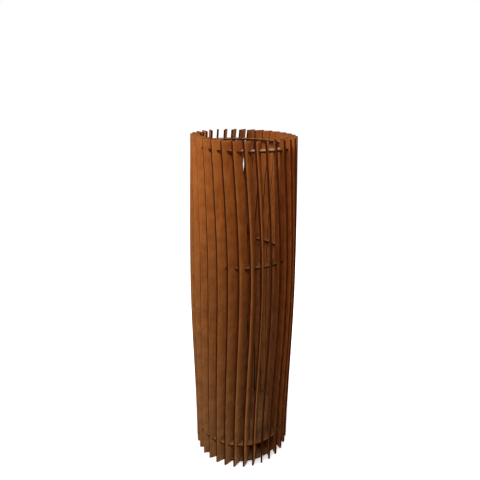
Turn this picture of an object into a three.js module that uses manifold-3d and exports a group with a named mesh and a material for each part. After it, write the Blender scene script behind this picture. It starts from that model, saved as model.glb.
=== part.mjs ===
// A tall open vase made of flat boards. Upright ribs stand in a ring, all slanted off the radius
// like the blades of a pinwheel. Two discs at the foot and two open rings above hold them: every
// rib crosses every plate in a cross-halved joint, half of it cut from the rib and half from the
// plate. The middle ring is turned a little against the others, so the ribs are sprung sideways.
//
// Millimetres, +Z up. The origin lies on the vase's axis, on the plane that the ribs stand on.

import * as THREE from "three";
import { mergeVertices } from "three/addons/utils/BufferGeometryUtils.js";
import Module from "manifold-3d";

// Driving dimensions
const vaseHeight = 550;
const boardThickness = 3;
const jointClearance = 0.3;

const ribCount = 32;
const ribOffset = 39; // from the vase's axis to the middle plane of every rib
const wellRadius = 64; // inside the ribs' inner edges

// Outline of the ribs' outer edges: radii, and how fast the radius grows with height at the ends
const footRadius = 82.4;
const footFlare = -0.012;
const bellyRadius = 85.1;
const bellyHeight = 282;
const mouthRadius = 78.2;
const mouthFlare = -0.027;

// Plates, from the bottom up. Heights are to the middle of the board, and turns are about the
// vase's axis, anticlockwise from above.
const bottomDiscHeight = 5.5;
const bottomDiscRadius = 73.7;
const floorDiscHeight = 42.5;
const floorDiscRadius = 79;
const middleRingHeight = 366;
const topRingDrop = 14.5; // from the mouth down to the top ring
const ringOuterRadius = 73.7;
const ringInnerRadius = 59;
const footTurn = THREE.MathUtils.degToRad(-5.3);
const middleTurn = THREE.MathUtils.degToRad(0);
const topTurn = THREE.MathUtils.degToRad(-9);

// Fineness of the faceted curves
const ribSteps = 18;
const circleSteps = 48;

const topRingHeight = vaseHeight - topRingDrop;

const up = new THREE.Vector3(0, 0, 1);
const ribAngle = (2 * Math.PI) / ribCount;
const ribInnerReach = reachAt(wellRadius);

// In the plane of a rib, the distance from the foot of the perpendicular dropped on that plane
// from the vase's axis, out to a given radius.
function reachAt(radius) {
  return Math.sqrt(radius ** 2 - ribOffset ** 2);
}

// A cubic over a span of a given length, from one value and slope to another.
function cubicSpan(share, length, start, startSlope, end, endSlope) {
  const rest = 1 - share;
  const rise = end - start;
  const startPull = rest * (startSlope * length - rise);
  const endPull = share * (endSlope * length - rise);
  return start + share * rise + share * rest * (startPull - endPull);
}

// Radius of the ribs' outer edges at a given height: a smooth curve from the foot out to the
// belly, and in again to the mouth.
function outerRadius(height) {
  if (height <= bellyHeight) {
    return cubicSpan(height / bellyHeight, bellyHeight, footRadius, footFlare, bellyRadius, 0);
  }
  const length = vaseHeight - bellyHeight;
  const share = (height - bellyHeight) / length;
  return cubicSpan(share, length, bellyRadius, 0, mouthRadius, mouthFlare);
}

// Turn of a rib about the vase's axis at a given height. The rib is an elastic strip: the two
// discs hold it upright at the foot, it runs through the middle ring with an even bend, and it
// leaves the top ring straight.
function ribTurn(height) {
  const lower = middleRingHeight - floorDiscHeight;
  const upper = topRingHeight - middleRingHeight;
  const lowerRise = (middleTurn - footTurn) / lower;
  const upperRise = (topTurn - middleTurn) / upper;
  const middleSlope = (6 * lowerRise / lower + 3 * upperRise / upper) / (4 / lower + 3 / upper);
  const topSlope = 1.5 * upperRise - 0.5 * middleSlope;
  if (height <= floorDiscHeight) return footTurn;
  if (height <= middleRingHeight) {
    const share = (height - floorDiscHeight) / lower;
    return cubicSpan(share, lower, footTurn, 0, middleTurn, middleSlope);
  }
  if (height <= topRingHeight) {
    const share = (height - middleRingHeight) / upper;
    return cubicSpan(share, upper, middleTurn, middleSlope, topTurn, topSlope);
  }
  return topTurn + topSlope * (height - topRingHeight);
}

// Solids, for the cuts
const wasm = await Module();
wasm.setup();

function toSolid(geometry) {
  const bare = geometry.clone();
  bare.deleteAttribute("normal");
  bare.deleteAttribute("uv");
  const merged = mergeVertices(bare);
  const vertProperties = new Float32Array(merged.attributes.position.array);
  const triVerts = new Uint32Array(merged.index.array);
  return new wasm.Manifold(new wasm.Mesh({ numProp: 3, vertProperties, triVerts }));
}

function toGeometry(solid) {
  const mesh = solid.getMesh();
  const geometry = new THREE.BufferGeometry();
  geometry.setAttribute("position", new THREE.BufferAttribute(mesh.vertProperties, 3));
  geometry.setIndex(new THREE.BufferAttribute(mesh.triVerts, 1));
  geometry.computeVertexNormals();
  return geometry;
}

// A block in the plane of a rib, from one reach to another, centred on a height and turned.
function ribPlaneBlock(fromReach, toReach, width, height, thickness, turn) {
  const block = new THREE.BoxGeometry(toReach - fromReach, width, thickness);
  block.translate((fromReach + toReach) / 2, ribOffset, height);
  return block.rotateZ(turn);
}

// Where the cut from the rib's inner edge meets the cut from the plate's outer edge: halfway
// along the stretch that they share.
function jointReach(plate) {
  return (ribInnerReach + reachAt(plate.outerRadius)) / 2;
}

const slotWidth = boardThickness + 2 * jointClearance;
const overcut = 5; // how far a cutting block runs past the edge that it opens

// The rib's blank: a board with a straight inner edge, its outer edge drawn to the vase's outline,
// and its plane turned as the plates hold it.
function ribBlank() {
  const blank = new THREE.BoxGeometry(1, 1, 1, 1, ribSteps, 1);
  blank.rotateX(Math.PI / 2).translate(0.5, 0, 0.5);
  const points = blank.attributes.position;
  const point = new THREE.Vector3();
  for (let i = 0; i < points.count; i += 1) {
    const height = points.getZ(i) * vaseHeight;
    const outerReach = reachAt(outerRadius(height));
    const reach = THREE.MathUtils.lerp(ribInnerReach, outerReach, points.getX(i));
    const side = ribOffset + points.getY(i) * boardThickness;
    point.set(reach, side, height).applyAxisAngle(up, ribTurn(height));
    points.setXYZ(i, point.x, point.y, point.z);
  }
  return blank;
}

// A rib with its slots, one for each plate, open to the inner edge.
function ribGeometry(plates) {
  let rib = toSolid(ribBlank());
  for (const plate of plates) {
    const slotEnd = jointReach(plate) + jointClearance / 2;
    const width = boardThickness + 2 * overcut;
    const turn = ribTurn(plate.height);
    const slot = ribPlaneBlock(ribInnerReach - overcut, slotEnd, width, plate.height, slotWidth, turn);
    rib = rib.subtract(toSolid(slot));
  }
  return toGeometry(rib);
}

// A disc or ring with its notches, one for each rib, open to the outer edge.
function plateGeometry(plate) {
  const outline = new THREE.Shape().absarc(0, 0, plate.outerRadius, 0, 2 * Math.PI);
  if (plate.innerRadius > 0) {
    outline.holes.push(new THREE.Path().absarc(0, 0, plate.innerRadius, 0, 2 * Math.PI, true));
  }
  const extrusion = { depth: boardThickness, bevelEnabled: false, curveSegments: circleSteps };
  const board = new THREE.ExtrudeGeometry(outline, extrusion);
  board.translate(0, 0, plate.height - boardThickness / 2);
  let solid = toSolid(board);
  const notchStart = jointReach(plate) - jointClearance / 2;
  const notchEnd = plate.outerRadius + overcut;
  const depth = boardThickness + 2 * overcut;
  for (let i = 0; i < ribCount; i += 1) {
    const turn = i * ribAngle + ribTurn(plate.height);
    const notch = ribPlaneBlock(notchStart, notchEnd, slotWidth, plate.height, depth, turn);
    solid = solid.subtract(toSolid(notch));
  }
  return toGeometry(solid);
}

function boardMaterial(colour) {
  return new THREE.MeshStandardMaterial({ color: colour, roughness: 0.72, metalness: 0 });
}

const plates = [
  { name: "bottom_disc", height: bottomDiscHeight, outerRadius: bottomDiscRadius, innerRadius: 0 },
  { name: "floor_disc", height: floorDiscHeight, outerRadius: floorDiscRadius, innerRadius: 0 },
  {
    name: "middle_ring",
    height: middleRingHeight,
    outerRadius: ringOuterRadius,
    innerRadius: ringInnerRadius,
  },
  { name: "top_ring", height: topRingHeight, outerRadius: ringOuterRadius, innerRadius: ringInnerRadius },
];

const vase = new THREE.Group();

for (const plate of plates) {
  const mesh = new THREE.Mesh(plateGeometry(plate), boardMaterial("#96683f"));
  mesh.name = plate.name;
  vase.add(mesh);
}

const slottedRib = ribGeometry(plates);
for (let i = 0; i < ribCount; i += 1) {
  const rib = new THREE.Mesh(slottedRib, boardMaterial("#86562f"));
  rib.name = `rib_${String(i + 1).padStart(2, "0")}`;
  rib.rotation.z = i * ribAngle;
  vase.add(rib);
}

export default vase;
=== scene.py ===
"""Looks of the slatted floor vase: stained wood-fibre boards, a pale floor, soft light and a camera."""

import math

import bmesh
import bpy
from bpy.props import FloatProperty, FloatVectorProperty, PointerProperty
from mathutils import Matrix, Vector


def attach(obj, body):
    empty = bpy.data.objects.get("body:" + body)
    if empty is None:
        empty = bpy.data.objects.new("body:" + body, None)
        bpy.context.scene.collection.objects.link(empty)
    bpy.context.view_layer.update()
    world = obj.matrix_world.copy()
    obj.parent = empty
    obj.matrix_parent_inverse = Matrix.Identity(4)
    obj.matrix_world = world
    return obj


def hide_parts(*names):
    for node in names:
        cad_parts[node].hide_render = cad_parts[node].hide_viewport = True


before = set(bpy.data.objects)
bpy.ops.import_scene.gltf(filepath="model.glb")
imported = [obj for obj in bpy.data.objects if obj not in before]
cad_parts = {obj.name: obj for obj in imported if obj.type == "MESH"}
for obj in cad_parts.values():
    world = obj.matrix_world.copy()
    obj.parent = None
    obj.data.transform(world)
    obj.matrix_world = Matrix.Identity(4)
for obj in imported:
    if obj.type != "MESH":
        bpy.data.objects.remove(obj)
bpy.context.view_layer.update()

bl_info = {
    "name": "Slatted floor vase",
    "version": (1, 0, 0),
    "blender": (4, 5, 0),
    "location": "3D View > Sidebar > Vase",
    "description": "Finishes the boards of a slatted floor vase and sets up its stage",
    "category": "Object",
}

MM = 0.001
BODY = "root"
RIB_PREFIX = "rib_"
RIB_NODES = sorted(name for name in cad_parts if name.startswith(RIB_PREFIX))
PLATE_NODES = sorted(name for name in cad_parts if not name.startswith(RIB_PREFIX))

# Attributes that the boards' materials read
NEAR_CUT = "near_cut"
TONE = "tone"

# How the boards' meshes are made ready. Triangles of a bowed rib are joined where they turn by less
# than the first angle, those of a flat plate where they turn by less than the second, and a board's
# outline turns where the third is passed.
MERGE_DISTANCE = 0.002 * MM
BOW_ANGLE = math.radians(3)
FLAT_ANGLE = math.radians(1)
SHARP_ANGLE = math.radians(30)
BROAD_LIMIT = 0.75  # cosine of the widest angle between a broad face and the plane of its board
STAINED_LIMIT = 0.96  # the same for a face that bears the stain, which leaves out the eased edges
CORNER_ROOM = 1.9  # room that the band of painted sheen beside a cut needs at a sharp corner, in widths of the band
MEAN_RIB_TURN = math.radians(-4.5)  # turn of a rib's broad faces, halfway through its bend
GOLDEN_STEP = 0.618  # step of tone from board to board, which keeps neighbours apart

# Sizes of the stain's patterns, in millimetres. Grain is the size of a fibre along X, Y and Z.
RIB_GRAIN_MM = (0.7, 0.7, 5.0)
PLATE_GRAIN_MM = (0.9, 0.9, 0.9)
STREAK_WIDTH_MM = 2.2
STREAK_LENGTH = 9  # in lengths of a fibre
CLOUD_MM = 15

# Shares of the patterns in the stain, which add up to 1
CLOUD_SHARE = 0.4
FIBRE_SHARE = 0.35
STREAK_SHARE = 0.25

# How far the stain's pattern strays from its middle until the stain is at its darkest or lightest
PATTERN_MIDDLE = 0.5
RIB_STRAY = 0.13
PLATE_STRAY = 0.18

# Up to the first height the ribs' colour is left as it is, and towards the second it turns redder, so
# the foot reads greyer than the mouth
GREY_BELOW = 50 * MM
WARM_ABOVE = 450 * MM

# Surface of the stained faces. They are roughest where the streaks' pattern is below the first
# value, and smoothest where it is above the second.
ROUGH_BELOW = 0.3
SMOOTH_ABOVE = 0.7
STAIN_ROUGHEST = 0.66
STAIN_SMOOTHEST = 0.56
STAIN_IOR = 1.5
STAIN_SPECULAR = 0.1
STAIN_RELIEF = 0.12 * MM
STAIN_RELIEF_STRENGTH = 0.35

# Sizes of the patterns of a cut edge, in millimetres
PULSE_MM = (3, 3, 1)
BURN_MM = 14

# Surface of the cut edges. They are charred most where the product of their two patterns is below
# the first value, and not at all where it is above the second.
CHARRED_BELOW = 0.12
BROWN_ABOVE = 0.42
CHARRED_SHARE = 0.35  # brightness of a fully charred spot, as a share of the rest of the edge
RIB_CHAR = 0.8
PLATE_CHAR = 0.9
CHAR_ROUGHNESS = 0.85
CHAR_RELIEF = 0.15 * MM
CHAR_RELIEF_STRENGTH = 0.3

# How much the lightest and the darkest board differ from the mean
FACE_SPREAD = 0.06
EDGE_SPREAD = 0.08

# Sockets of the Mix node when it mixes colours
MIX_FACTOR = 0
MIX_A = 6
MIX_B = 7
MIX_RESULT = 2

# Camera
PHOTO_WIDTH = 480
LENS_AXIS = (274.1, 238.2)  # where the lens points in the picture, in pixels from the top left
SENSOR_WIDTH = 36.0  # in millimetres, as Blender takes it
CLIP_START = 10 * MM

# Floor and surround
FLOOR_HALF = 12.0
FLOOR_ROUGHNESS = 0.9
SHADOW_REACH = 0.1  # distance from the vase's axis up to which the floor keeps a shadow
WHITE_REACH = 0.25  # distance from which the floor is plain white to the eye
WHITE = (1, 1, 1, 1)

# Each lamp: its name, the setting that holds its power, its direction from the vase, anticlockwise
# from +X, its height above the horizon, its distance and the side of its square
AIM = Vector((0, 0, 0.33))
LAMPS = (
    ("Key lamp", "key_power", math.radians(-97), math.radians(45), 1.0, 0.4),
    ("High lamp", "high_power", math.radians(-138), math.radians(62), 1.0, 0.3),
    ("Right panel", "right_power", math.radians(-3), math.radians(10), 1.3, 1.0),
    ("Left panel", "left_power", math.radians(177), math.radians(45), 1.3, 1.0),
    ("Back panel", "back_power", math.radians(70), math.radians(40), 1.3, 1.0),
)


def linear(code):
    """Turns an sRGB hex colour into the linear red, green and blue that Blender works in."""
    parts = [int(code[i : i + 2], 16) / 255 for i in (1, 3, 5)]
    return tuple(c / 12.92 if c <= 0.04045 else ((c + 0.055) / 1.055) ** 2.4 for c in parts)


def opaque(colour):
    """A colour with full alpha, as node sockets take it."""
    return (*colour, 1)


class VaseBoardSettings(bpy.types.PropertyGroup):
    """Finish of the vase's boards"""

    edge_round: FloatProperty(
        name="Edge rounding",
        description="How far the laser's cut is eased at every edge of a board",
        default=0.2 * MM,
        min=0,
        unit="LENGTH",
    )
    # Width of the band beside each cut that bears the painted sheen, a pale grey highlight
    painted_sheen_width: FloatProperty(
        name="Worn band",
        description="Width of the band along each cut where the stain is worn thin",
        default=1.2 * MM,
        min=0.1 * MM,
        unit="LENGTH",
    )
    rib_colour: FloatVectorProperty(
        name="Rib stain",
        description="Colour of the ribs' broad faces",
        subtype="COLOR",
        default=linear("#946132"),
        min=0,
        max=1,
    )
    rib_dark: FloatVectorProperty(
        name="Rib stain, dark",
        description="Colour of the ribs' broad faces where more stain has soaked in",
        subtype="COLOR",
        default=linear("#754723"),
        min=0,
        max=1,
    )
    # What the ribs' colour is multiplied by at the mouth: redder there, and greyer at the foot
    rib_change: FloatVectorProperty(
        name="Rib stain, change to the mouth",
        description="What red, green and blue of the ribs' stain are multiplied by at the mouth",
        default=(1.22, 0.89, 0.58),
        min=0,
    )
    rib_edge_colour: FloatVectorProperty(
        name="Rib cut edge",
        description="Colour of the ribs' charred cut edges",
        subtype="COLOR",
        default=linear("#461c0a"),
        min=0,
        max=1,
    )
    plate_colour: FloatVectorProperty(
        name="Plate face",
        description="Colour of the broad faces of the discs and rings",
        subtype="COLOR",
        default=linear("#8c6440"),
        min=0,
        max=1,
    )
    plate_dark: FloatVectorProperty(
        name="Plate face, dark",
        description="Colour of the darker fibres of the discs and rings",
        subtype="COLOR",
        default=linear("#6c4526"),
        min=0,
        max=1,
    )
    plate_edge_colour: FloatVectorProperty(
        name="Plate cut edge",
        description="Colour of the charred cut edges of the discs and rings",
        subtype="COLOR",
        default=linear("#4a200c"),
        min=0,
        max=1,
    )
    # Colour of the painted sheen beside each cut: a pale grey highlight painted on the faces
    painted_sheen_colour: FloatVectorProperty(
        name="Worn stain",
        description="Colour of the fibres beside a cut, where the stain is worn thin",
        subtype="COLOR",
        default=linear("#a87c52"),
        min=0,
        max=1,
    )


class VaseStageSettings(bpy.types.PropertyGroup):
    """Camera, lamps and floor"""

    camera_place: FloatVectorProperty(
        name="Camera",
        description="Where the camera stands",
        subtype="TRANSLATION",
        unit="LENGTH",
        default=(-0.01922, -0.6619, 0.6271),
    )
    camera_yaw: FloatProperty(
        name="Yaw",
        description="Turn of the camera to the right of +Y",
        subtype="ANGLE",
        default=0.10263,
    )
    camera_pitch: FloatProperty(
        name="Pitch",
        description="How far the camera looks down",
        subtype="ANGLE",
        default=0.3450,
    )
    camera_roll: FloatProperty(
        name="Roll",
        description="Tilt of the camera about its own line of sight",
        subtype="ANGLE",
        default=-0.0336,
    )
    focal_pixels: FloatProperty(
        name="Focal length in pixels",
        description="Focal length of the camera, in pixels of a square picture 480 pixels wide",
        default=440.5,
        min=1,
    )
    key_power: FloatProperty(
        name="Key lamp",
        description="Power of the main lamp, in front of the vase and above it",
        subtype="POWER",
        default=6.2,
        min=0,
    )
    high_power: FloatProperty(
        name="High lamp",
        description="Power of the lamp high on the left in front",
        subtype="POWER",
        default=5.9,
        min=0,
    )
    right_power: FloatProperty(
        name="Right panel",
        description="Power of the wide panel low on the right",
        subtype="POWER",
        default=13.0,
        min=0,
    )
    left_power: FloatProperty(
        name="Left panel",
        description="Power of the wide panel on the left",
        subtype="POWER",
        default=2.0,
        min=0,
    )
    back_power: FloatProperty(
        name="Back panel",
        description="Power of the wide panel behind the vase",
        subtype="POWER",
        default=8.0,
        min=0,
    )
    surround: FloatProperty(
        name="Surround",
        description="Strength of the even white light from all sides",
        default=0.04,
        min=0,
    )
    floor_colour: FloatVectorProperty(
        name="Floor",
        description="Colour of the floor",
        subtype="COLOR",
        default=linear("#f4f4f4"),
        min=0,
        max=1,
    )
    floor_glow: FloatProperty(
        name="Floor glow",
        description="White that the camera adds to the floor, so that it reads as a white sweep",
        default=0.42,
        min=0,
        max=1,
    )


def add_node(tree, kind, settings=None, values=None, links=None):
    """Adds a node to a tree, and gives it its settings, the values of its sockets and its links."""
    made = tree.nodes.new(kind)
    for key, value in (settings or {}).items():
        setattr(made, key, value)
    for key, value in (values or {}).items():
        made.inputs[key].default_value = value
    for key, source in (links or {}).items():
        tree.links.new(source, made.inputs[key])
    return made


def new_material(name):
    """A material with an empty node tree."""
    material = bpy.data.materials.new(name)
    material.use_nodes = True
    material.node_tree.nodes.clear()
    return material


def new_object(name, data):
    """An object that holds some data, in the scene."""
    made = bpy.data.objects.new(name, data)
    bpy.context.scene.collection.objects.link(made)
    return made


def pattern_scale(size_mm):
    """What turns places into steps of a pattern, of a size in millimetres along X, Y and Z."""
    return tuple(1 / (size * MM) for size in size_mm)


def add_board_tone(tree, spread, colour):
    """Makes a colour lighter or darker by the tone of the board that bears it."""
    tone = add_node(tree, "ShaderNodeAttribute", settings={"attribute_name": TONE})
    brightness = add_node(
        tree,
        "ShaderNodeMapRange",
        values={"To Min": 1 - spread, "To Max": 1 + spread},
        links={"Value": tone.outputs["Fac"]},
    )
    toned = add_node(
        tree,
        "ShaderNodeHueSaturation",
        links={"Value": brightness.outputs["Result"], "Color": colour},
    )
    return toned.outputs["Color"]


def add_streaks(tree, place, grain_mm):
    """Broad faint streaks along the fibres, as a brush leaves them."""
    streak_mm = (STREAK_WIDTH_MM, STREAK_WIDTH_MM, grain_mm[2] * STREAK_LENGTH)
    streak_place = add_node(
        tree,
        "ShaderNodeMapping",
        values={"Scale": pattern_scale(streak_mm)},
        links={"Vector": place},
    )
    streaks = add_node(
        tree,
        "ShaderNodeTexNoise",
        values={"Scale": 1.0, "Detail": 2.0, "Roughness": 0.5},
        links={"Vector": streak_place.outputs["Vector"]},
    )
    return streaks.outputs["Fac"]


def add_stain_pattern(tree, place, grain_mm, streaks):
    """Fibres, streaks and clouds, mixed into one pattern."""
    fibre_place = add_node(
        tree,
        "ShaderNodeMapping",
        values={"Scale": pattern_scale(grain_mm)},
        links={"Vector": place},
    )
    fibres = add_node(
        tree,
        "ShaderNodeTexNoise",
        values={"Scale": 1.0, "Detail": 3.0, "Roughness": 0.6},
        links={"Vector": fibre_place.outputs["Vector"]},
    )
    clouds = add_node(
        tree,
        "ShaderNodeTexNoise",
        values={"Scale": 1 / (CLOUD_MM * MM), "Detail": 2.0, "Roughness": 0.5},
        links={"Vector": place},
    )
    with_clouds = add_node(
        tree,
        "ShaderNodeMath",
        settings={"operation": "MULTIPLY"},
        values={1: CLOUD_SHARE},
        links={0: clouds.outputs["Fac"]},
    )
    with_fibres = add_node(
        tree,
        "ShaderNodeMath",
        settings={"operation": "MULTIPLY_ADD"},
        values={1: FIBRE_SHARE},
        links={0: fibres.outputs["Fac"], 2: with_clouds.outputs["Value"]},
    )
    with_streaks = add_node(
        tree,
        "ShaderNodeMath",
        settings={"operation": "MULTIPLY_ADD"},
        values={1: STREAK_SHARE},
        links={0: streaks, 2: with_fibres.outputs["Value"]},
    )
    return with_streaks.outputs["Value"]


def add_change(tree, place, change, colour):
    """Multiplies a colour by a change that grows from the vase's foot to its mouth."""
    height = add_node(tree, "ShaderNodeSeparateXYZ", links={"Vector": place})
    share = add_node(
        tree,
        "ShaderNodeMapRange",
        values={"From Min": GREY_BELOW, "From Max": WARM_ABOVE},
        links={"Value": height.outputs["Z"]},
    )
    changed = add_node(
        tree,
        "ShaderNodeMix",
        settings={"data_type": "RGBA", "blend_type": "MULTIPLY"},
        values={MIX_B: opaque(change)},
        links={MIX_FACTOR: share.outputs["Result"], MIX_A: colour},
    )
    return changed.outputs[MIX_RESULT]


def add_painted_sheen(tree, worn, streaks, colour):
    """Mixes a painted sheen, a pale grey highlight, into a colour in streaks beside the cuts; worn is
    its colour.
    """
    near_cut = add_node(tree, "ShaderNodeAttribute", settings={"attribute_name": NEAR_CUT})
    sheen_share = add_node(
        tree,
        "ShaderNodeMath",
        settings={"operation": "MULTIPLY"},
        links={0: near_cut.outputs["Fac"], 1: streaks},
    )
    with_sheen = add_node(
        tree,
        "ShaderNodeMix",
        settings={"data_type": "RGBA"},
        values={MIX_B: opaque(worn)},
        links={MIX_FACTOR: sheen_share.outputs["Value"], MIX_A: colour},
    )
    return with_sheen.outputs[MIX_RESULT]


def stained_fibreboard(name, light, dark, worn, grain_mm, stray, change=None):
    """Wood-fibre board with a smooth pressed face, stained and left matt.

    The eye sees an even brown with short fine fibres, faint streaks along the brush's strokes and
    soft clouds where the stain has soaked in unevenly. Beside each cut a paler and greyer line is
    painted on in streaks: a painted sheen that stands in for the light a board's outer margin catches.
    Real fibres are about 0.1 mm thick, too fine to show, so they are drawn seven to nine times as
    coarse. A smaller stray gives a stronger pattern. worn is the colour of the painted sheen.
    change, where given, is what the colour is multiplied by at the vase's mouth.
    """
    material = new_material(name)
    tree = material.node_tree
    place = add_node(tree, "ShaderNodeTexCoord").outputs["Object"]
    streaks = add_streaks(tree, place, grain_mm)
    pattern = add_stain_pattern(tree, place, grain_mm, streaks)
    stain = add_node(
        tree,
        "ShaderNodeMapRange",
        values={"From Min": PATTERN_MIDDLE - stray, "From Max": PATTERN_MIDDLE + stray},
        links={"Value": pattern},
    )
    stained = add_node(
        tree,
        "ShaderNodeMix",
        settings={"data_type": "RGBA"},
        values={MIX_A: opaque(dark), MIX_B: opaque(light)},
        links={MIX_FACTOR: stain.outputs["Result"]},
    )
    colour = stained.outputs[MIX_RESULT]
    if change is not None:
        colour = add_change(tree, place, change, colour)
    # Painted sheen: a pale grey highlight in streaks beside each cut
    colour = add_painted_sheen(tree, worn, streaks, colour)

    gloss = add_node(
        tree,
        "ShaderNodeMapRange",
        values={
            "From Min": ROUGH_BELOW,
            "From Max": SMOOTH_ABOVE,
            "To Min": STAIN_ROUGHEST,
            "To Max": STAIN_SMOOTHEST,
        },
        links={"Value": streaks},
    )
    relief = add_node(
        tree,
        "ShaderNodeBump",
        values={"Strength": STAIN_RELIEF_STRENGTH, "Distance": STAIN_RELIEF},
        links={"Height": pattern},
    )
    surface = add_node(
        tree,
        "ShaderNodeBsdfPrincipled",
        values={"IOR": STAIN_IOR, "Specular IOR Level": STAIN_SPECULAR},
        links={
            "Base Color": add_board_tone(tree, FACE_SPREAD, colour),
            "Roughness": gloss.outputs["Result"],
            "Normal": relief.outputs["Normal"],
        },
    )
    add_node(tree, "ShaderNodeOutputMaterial", links={"Surface": surface.outputs["BSDF"]})
    return material


def laser_cut_edge(name, colour, char):
    """The edge of a wood-fibre board as a laser leaves it.

    The eye sees a dark matt line round every board: brown, with blacker patches where the cut is
    charred and fine level lines where the beam pulsed. The lines are about 0.3 mm apart on the real
    board, and are drawn 1 mm apart so that they show. char is how far the worst patches go towards
    fully charred, from 0 to 1.
    """
    material = new_material(name)
    tree = material.node_tree
    place = add_node(tree, "ShaderNodeTexCoord").outputs["Object"]
    pulse_place = add_node(
        tree,
        "ShaderNodeMapping",
        values={"Scale": pattern_scale(PULSE_MM)},
        links={"Vector": place},
    )
    pulses = add_node(
        tree,
        "ShaderNodeTexNoise",
        values={"Scale": 1.0, "Detail": 2.0, "Roughness": 0.55},
        links={"Vector": pulse_place.outputs["Vector"]},
    )
    burns = add_node(
        tree,
        "ShaderNodeTexNoise",
        values={"Scale": 1 / (BURN_MM * MM), "Detail": 3.0, "Roughness": 0.6},
        links={"Vector": place},
    )
    product = add_node(
        tree,
        "ShaderNodeMath",
        settings={"operation": "MULTIPLY"},
        links={0: pulses.outputs["Fac"], 1: burns.outputs["Fac"]},
    )
    burnt = add_node(
        tree,
        "ShaderNodeMapRange",
        values={"From Min": CHARRED_BELOW, "From Max": BROWN_ABOVE, "To Min": char, "To Max": 0},
        links={"Value": product.outputs["Value"]},
    )
    charred = tuple(c * CHARRED_SHARE for c in colour)
    shade = add_node(
        tree,
        "ShaderNodeMix",
        settings={"data_type": "RGBA"},
        values={MIX_A: opaque(colour), MIX_B: opaque(charred)},
        links={MIX_FACTOR: burnt.outputs["Result"]},
    )
    relief = add_node(
        tree,
        "ShaderNodeBump",
        values={"Strength": CHAR_RELIEF_STRENGTH, "Distance": CHAR_RELIEF},
        links={"Height": pulses.outputs["Fac"]},
    )
    surface = add_node(
        tree,
        "ShaderNodeBsdfPrincipled",
        values={"Roughness": CHAR_ROUGHNESS, "Specular IOR Level": 0.0},
        links={
            "Base Color": add_board_tone(tree, EDGE_SPREAD, shade.outputs[MIX_RESULT]),
            "Normal": relief.outputs["Normal"],
        },
    )
    add_node(tree, "ShaderNodeOutputMaterial", links={"Surface": surface.outputs["BSDF"]})
    return material


def sharp_edges(edges):
    """Those of some edges at which a board's outline turns."""
    return [edge for edge in edges if edge.calc_face_angle(0) > SHARP_ANGLE]


def clear_corners(shape, reach):
    """Welds each slight bend of an outline that lies within reach of a corner into that corner."""
    targets = {}
    for vert in shape.verts:
        outline = sharp_edges(vert.link_edges)
        if len(outline) != 2:
            continue
        nearest = min(outline, key=lambda edge: edge.calc_length())
        corner = nearest.other_vert(vert)
        if nearest.calc_length() < reach and len(sharp_edges(corner.link_edges)) > 2:
            targets[vert] = corner
    bmesh.ops.weld_verts(shape, targetmap=targets)


def refill(shape, broad, across):
    """Fills the broad faces of a flat board anew, with triangles that keep clear of its notches."""
    bmesh.ops.delete(shape, geom=broad, context="FACES")
    for side in (across, -across):
        rim = [
            edge
            for edge in shape.edges
            if edge.is_boundary and edge.link_faces[0].normal.dot(side) > BROAD_LIMIT
        ]
        bmesh.ops.triangle_fill(shape, edges=rim, use_beauty=True, normal=side)


def merged_board(node_name, bowed):
    """The faces of a board of the CAD model, merged from its loose triangles."""
    shape = bmesh.new()
    shape.from_mesh(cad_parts[node_name].data)
    bmesh.ops.remove_doubles(shape, verts=shape.verts, dist=MERGE_DISTANCE)
    bmesh.ops.recalc_face_normals(shape, faces=shape.faces)
    if bowed:
        bmesh.ops.join_triangles(
            shape,
            faces=shape.faces,
            angle_face_threshold=BOW_ANGLE,
            angle_shape_threshold=math.pi,
        )
    else:
        bmesh.ops.dissolve_limit(
            shape, angle_limit=FLAT_ANGLE, verts=shape.verts, edges=shape.edges
        )
    return shape


def finished_board(node_name, across, bowed, board, tone, materials):
    """Makes a board of the CAD model again with eased edges, and marks the bands beside its cuts.

    across is the direction through the board's thickness, and tone, from 0 to 1, tells one board
    from the next. The first material is for the broad faces and the second for the cut edges.
    """
    shape = merged_board(node_name, bowed)
    clear_corners(shape, board.painted_sheen_width * CORNER_ROOM)

    # near_cut is 1 in the band beside each cut, where the painted sheen goes, and 0 elsewhere
    near_cut = shape.verts.layers.float.new(NEAR_CUT)
    tones = shape.verts.layers.float.new(TONE)
    for vert in shape.verts:
        vert[near_cut] = 1.0
        vert[tones] = tone
    broad = [face for face in shape.faces if abs(face.normal.dot(across)) > BROAD_LIMIT]
    bmesh.ops.inset_region(
        shape, faces=broad, thickness=board.painted_sheen_width, use_even_offset=True, use_boundary=True
    )
    for face in broad:
        for vert in face.verts:
            vert[near_cut] = 0.0
    if not bowed:
        refill(shape, broad, across)
    bmesh.ops.bevel(
        shape,
        geom=sharp_edges(shape.edges),
        offset=board.edge_round,
        offset_type="OFFSET",
        affect="EDGES",
        segments=2,
        profile=0.5,
        material=-1,
    )
    for face in shape.faces:
        face.smooth = True
        if abs(face.normal.dot(across)) <= STAINED_LIMIT:
            face.material_index = 1

    mesh = bpy.data.meshes.new(f"{node_name}_board")
    shape.to_mesh(mesh)
    shape.free()
    for material in materials:
        mesh.materials.append(material)
    piece = new_object(f"{node_name}_board", mesh)
    shading = piece.modifiers.new("Even shading", "WEIGHTED_NORMAL")
    shading.mode = "FACE_AREA"
    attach(piece, BODY)
    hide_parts(node_name)
    return piece


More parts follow.
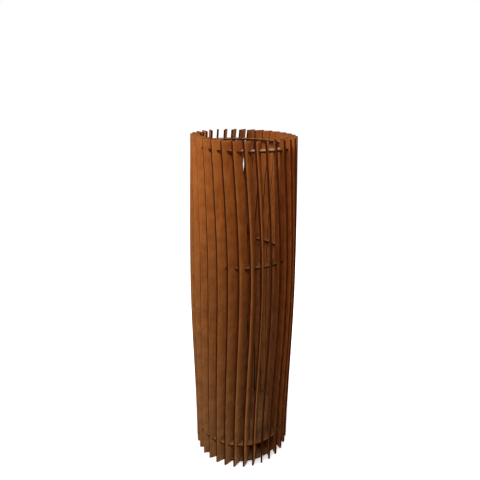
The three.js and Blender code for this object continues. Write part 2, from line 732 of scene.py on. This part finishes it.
class VASE_OT_make_plates(bpy.types.Operator):
    """Finish the two discs and the two rings"""

    bl_idname = "vase.make_plates"
    bl_label = "Discs and rings"

    def execute(self, context):
        board = context.scene.vase_board
        face = stained_fibreboard(
            "Stained fibreboard, disc and ring faces",
            board.plate_colour,
            board.plate_dark,
            board.painted_sheen_colour,
            grain_mm=PLATE_GRAIN_MM,
            stray=PLATE_STRAY,
        )
        edge = laser_cut_edge(
            "Laser-cut fibreboard, disc and ring edges", board.plate_edge_colour, PLATE_CHAR
        )
        for i, name in enumerate(PLATE_NODES):
            tone = (i * GOLDEN_STEP) % 1
            piece = finished_board(name, Vector((0, 0, 1)), False, board, tone, [face, edge])
        return {"FINISHED"}


class VASE_OT_make_ribs(bpy.types.Operator):
    """Finish the thirty-two ribs"""

    bl_idname = "vase.make_ribs"
    bl_label = "Ribs"

    def execute(self, context):
        board = context.scene.vase_board
        face = stained_fibreboard(
            "Stained fibreboard, rib faces",
            board.rib_colour,
            board.rib_dark,
            board.painted_sheen_colour,
            grain_mm=RIB_GRAIN_MM,
            stray=RIB_STRAY,
            change=board.rib_change,
        )
        edge = laser_cut_edge("Laser-cut fibreboard, rib edges", board.rib_edge_colour, RIB_CHAR)
        for i, name in enumerate(RIB_NODES):
            turn = i * 2 * math.pi / len(RIB_NODES) + MEAN_RIB_TURN
            across = Vector((-math.sin(turn), math.cos(turn), 0))
            tone = (i * GOLDEN_STEP) % 1
            piece = finished_board(name, across, True, board, tone, [face, edge])
        return {"FINISHED"}


def add_camera(stage):
    """The camera, with the picture's middle and its tilt as in the photograph."""
    yaw = stage.camera_yaw
    pitch = stage.camera_pitch
    roll = stage.camera_roll
    forward = Vector(
        (math.sin(yaw) * math.cos(pitch), math.cos(yaw) * math.cos(pitch), -math.sin(pitch))
    )
    level = Vector((math.cos(yaw), -math.sin(yaw), 0))
    upright = level.cross(forward)
    right = math.cos(roll) * level - math.sin(roll) * upright
    up = math.sin(roll) * level + math.cos(roll) * upright
    turned = Matrix((right, up, -forward)).transposed()

    camera = bpy.data.cameras.new("Camera")
    camera.sensor_width = SENSOR_WIDTH
    camera.lens = stage.focal_pixels / PHOTO_WIDTH * SENSOR_WIDTH
    camera.shift_x = (PHOTO_WIDTH / 2 - LENS_AXIS[0]) / PHOTO_WIDTH
    camera.shift_y = (LENS_AXIS[1] - PHOTO_WIDTH / 2) / PHOTO_WIDTH
    camera.clip_start = CLIP_START
    holder = new_object("Camera", camera)
    holder.matrix_world = Matrix.Translation(stage.camera_place) @ turned.to_4x4()
    bpy.context.scene.camera = holder


def add_lamps(stage):
    """Soft square lamps round the vase, aimed at its middle."""
    for name, power, azimuth, elevation, distance, side in LAMPS:
        across = math.cos(elevation)
        away = Vector(
            (across * math.cos(azimuth), across * math.sin(azimuth), math.sin(elevation))
        )
        lamp = bpy.data.lights.new(name, "AREA")
        lamp.energy = getattr(stage, power)
        lamp.size = side
        holder = new_object(name, lamp)
        holder.location = AIM + away * distance
        holder.rotation_euler = away.to_track_quat("Z", "Y").to_euler()


def add_seen_directly(tree):
    """Gives 1 where a ray comes from the camera, straight or by way of gloss or glass, and else 0."""
    path = add_node(tree, "ShaderNodeLightPath")
    glossy = add_node(
        tree,
        "ShaderNodeMath",
        settings={"operation": "MAXIMUM"},
        links={0: path.outputs["Is Camera Ray"], 1: path.outputs["Is Glossy Ray"]},
    )
    glassy = add_node(
        tree,
        "ShaderNodeMath",
        settings={"operation": "MAXIMUM"},
        links={0: glossy.outputs["Value"], 1: path.outputs["Is Transmission Ray"]},
    )
    return glassy.outputs["Value"]


def add_surround(stage):
    """Even white light from all sides, which the camera sees as plain white."""
    world = bpy.data.worlds.new("Surround")
    world.use_nodes = True
    tree = world.node_tree
    tree.nodes.clear()
    strength = add_node(
        tree,
        "ShaderNodeMapRange",
        values={"To Min": stage.surround, "To Max": 1.0},
        links={"Value": add_seen_directly(tree)},
    )
    light = add_node(
        tree,
        "ShaderNodeBackground",
        values={"Color": WHITE},
        links={"Strength": strength.outputs["Result"]},
    )
    add_node(tree, "ShaderNodeOutputWorld", links={"Surface": light.outputs["Background"]})
    bpy.context.scene.world = world


def white_sweep(stage):
    """Matt white paint that keeps a shadow near the vase and reads as plain white further out."""
    material = new_material("White painted sweep")
    tree = material.node_tree
    place = add_node(tree, "ShaderNodeTexCoord").outputs["Object"]
    away = add_node(
        tree, "ShaderNodeVectorMath", settings={"operation": "LENGTH"}, links={0: place}
    )
    whiter = add_node(
        tree,
        "ShaderNodeMapRange",
        settings={"interpolation_type": "SMOOTHSTEP"},
        values={
            "From Min": SHADOW_REACH,
            "From Max": WHITE_REACH,
            "To Min": stage.floor_glow,
            "To Max": 1.0,
        },
        links={"Value": away.outputs["Value"]},
    )
    glow = add_node(
        tree,
        "ShaderNodeMath",
        settings={"operation": "MULTIPLY"},
        links={0: add_seen_directly(tree), 1: whiter.outputs["Result"]},
    )
    surface = add_node(
        tree,
        "ShaderNodeBsdfPrincipled",
        values={
            "Base Color": opaque(stage.floor_colour),
            "Roughness": FLOOR_ROUGHNESS,
            "Specular IOR Level": 0.0,
            "Emission Color": WHITE,
        },
        links={"Emission Strength": glow.outputs["Value"]},
    )
    add_node(tree, "ShaderNodeOutputMaterial", links={"Surface": surface.outputs["BSDF"]})
    return material


def add_floor(stage):
    """A wide floor at the height of the ribs' feet."""
    shape = bmesh.new()
    bmesh.ops.create_grid(shape, x_segments=1, y_segments=1, size=FLOOR_HALF)
    mesh = bpy.data.meshes.new("floor")
    shape.to_mesh(mesh)
    shape.free()
    mesh.materials.append(white_sweep(stage))
    floor = new_object("floor", mesh)


class VASE_OT_make_stage(bpy.types.Operator):
    """Set up the camera, the lamps, the surround and the floor"""

    bl_idname = "vase.make_stage"
    bl_label = "Stage"

    def execute(self, context):
        stage = context.scene.vase_stage
        add_camera(stage)
        add_lamps(stage)
        add_surround(stage)
        add_floor(stage)
        context.scene.view_settings.view_transform = "Standard"
        return {"FINISHED"}


class VASE_PT_sidebar(bpy.types.Panel):
    """Lists the vase's settings and the steps that make it"""

    bl_label = "Slatted floor vase"
    bl_idname = "VASE_PT_sidebar"
    bl_space_type = "VIEW_3D"
    bl_region_type = "UI"
    bl_category = "Vase"

    def draw(self, context):
        for settings in (context.scene.vase_board, context.scene.vase_stage):
            column = self.layout.column()
            for key in settings.__annotations__:
                column.prop(settings, key)
        for step in STEPS:
            self.layout.operator(step.bl_idname)


STEPS = (VASE_OT_make_plates, VASE_OT_make_ribs, VASE_OT_make_stage)
CLASSES = (VaseBoardSettings, VaseStageSettings, *STEPS, VASE_PT_sidebar)


def register():
    """Registers the classes, and gives each scene the vase's settings."""
    for each in CLASSES:
        bpy.utils.register_class(each)
    bpy.types.Scene.vase_board = PointerProperty(type=VaseBoardSettings)
    bpy.types.Scene.vase_stage = PointerProperty(type=VaseStageSettings)


def unregister():
    """Takes back what register did."""
    del bpy.types.Scene.vase_stage
    del bpy.types.Scene.vase_board
    for each in reversed(CLASSES):
        bpy.utils.unregister_class(each)


def main():
    """Makes the boards and the stage."""
    register()
    bpy.ops.vase.make_plates()
    bpy.ops.vase.make_ribs()
    bpy.ops.vase.make_stage()


if __name__ == "__main__":
    main()
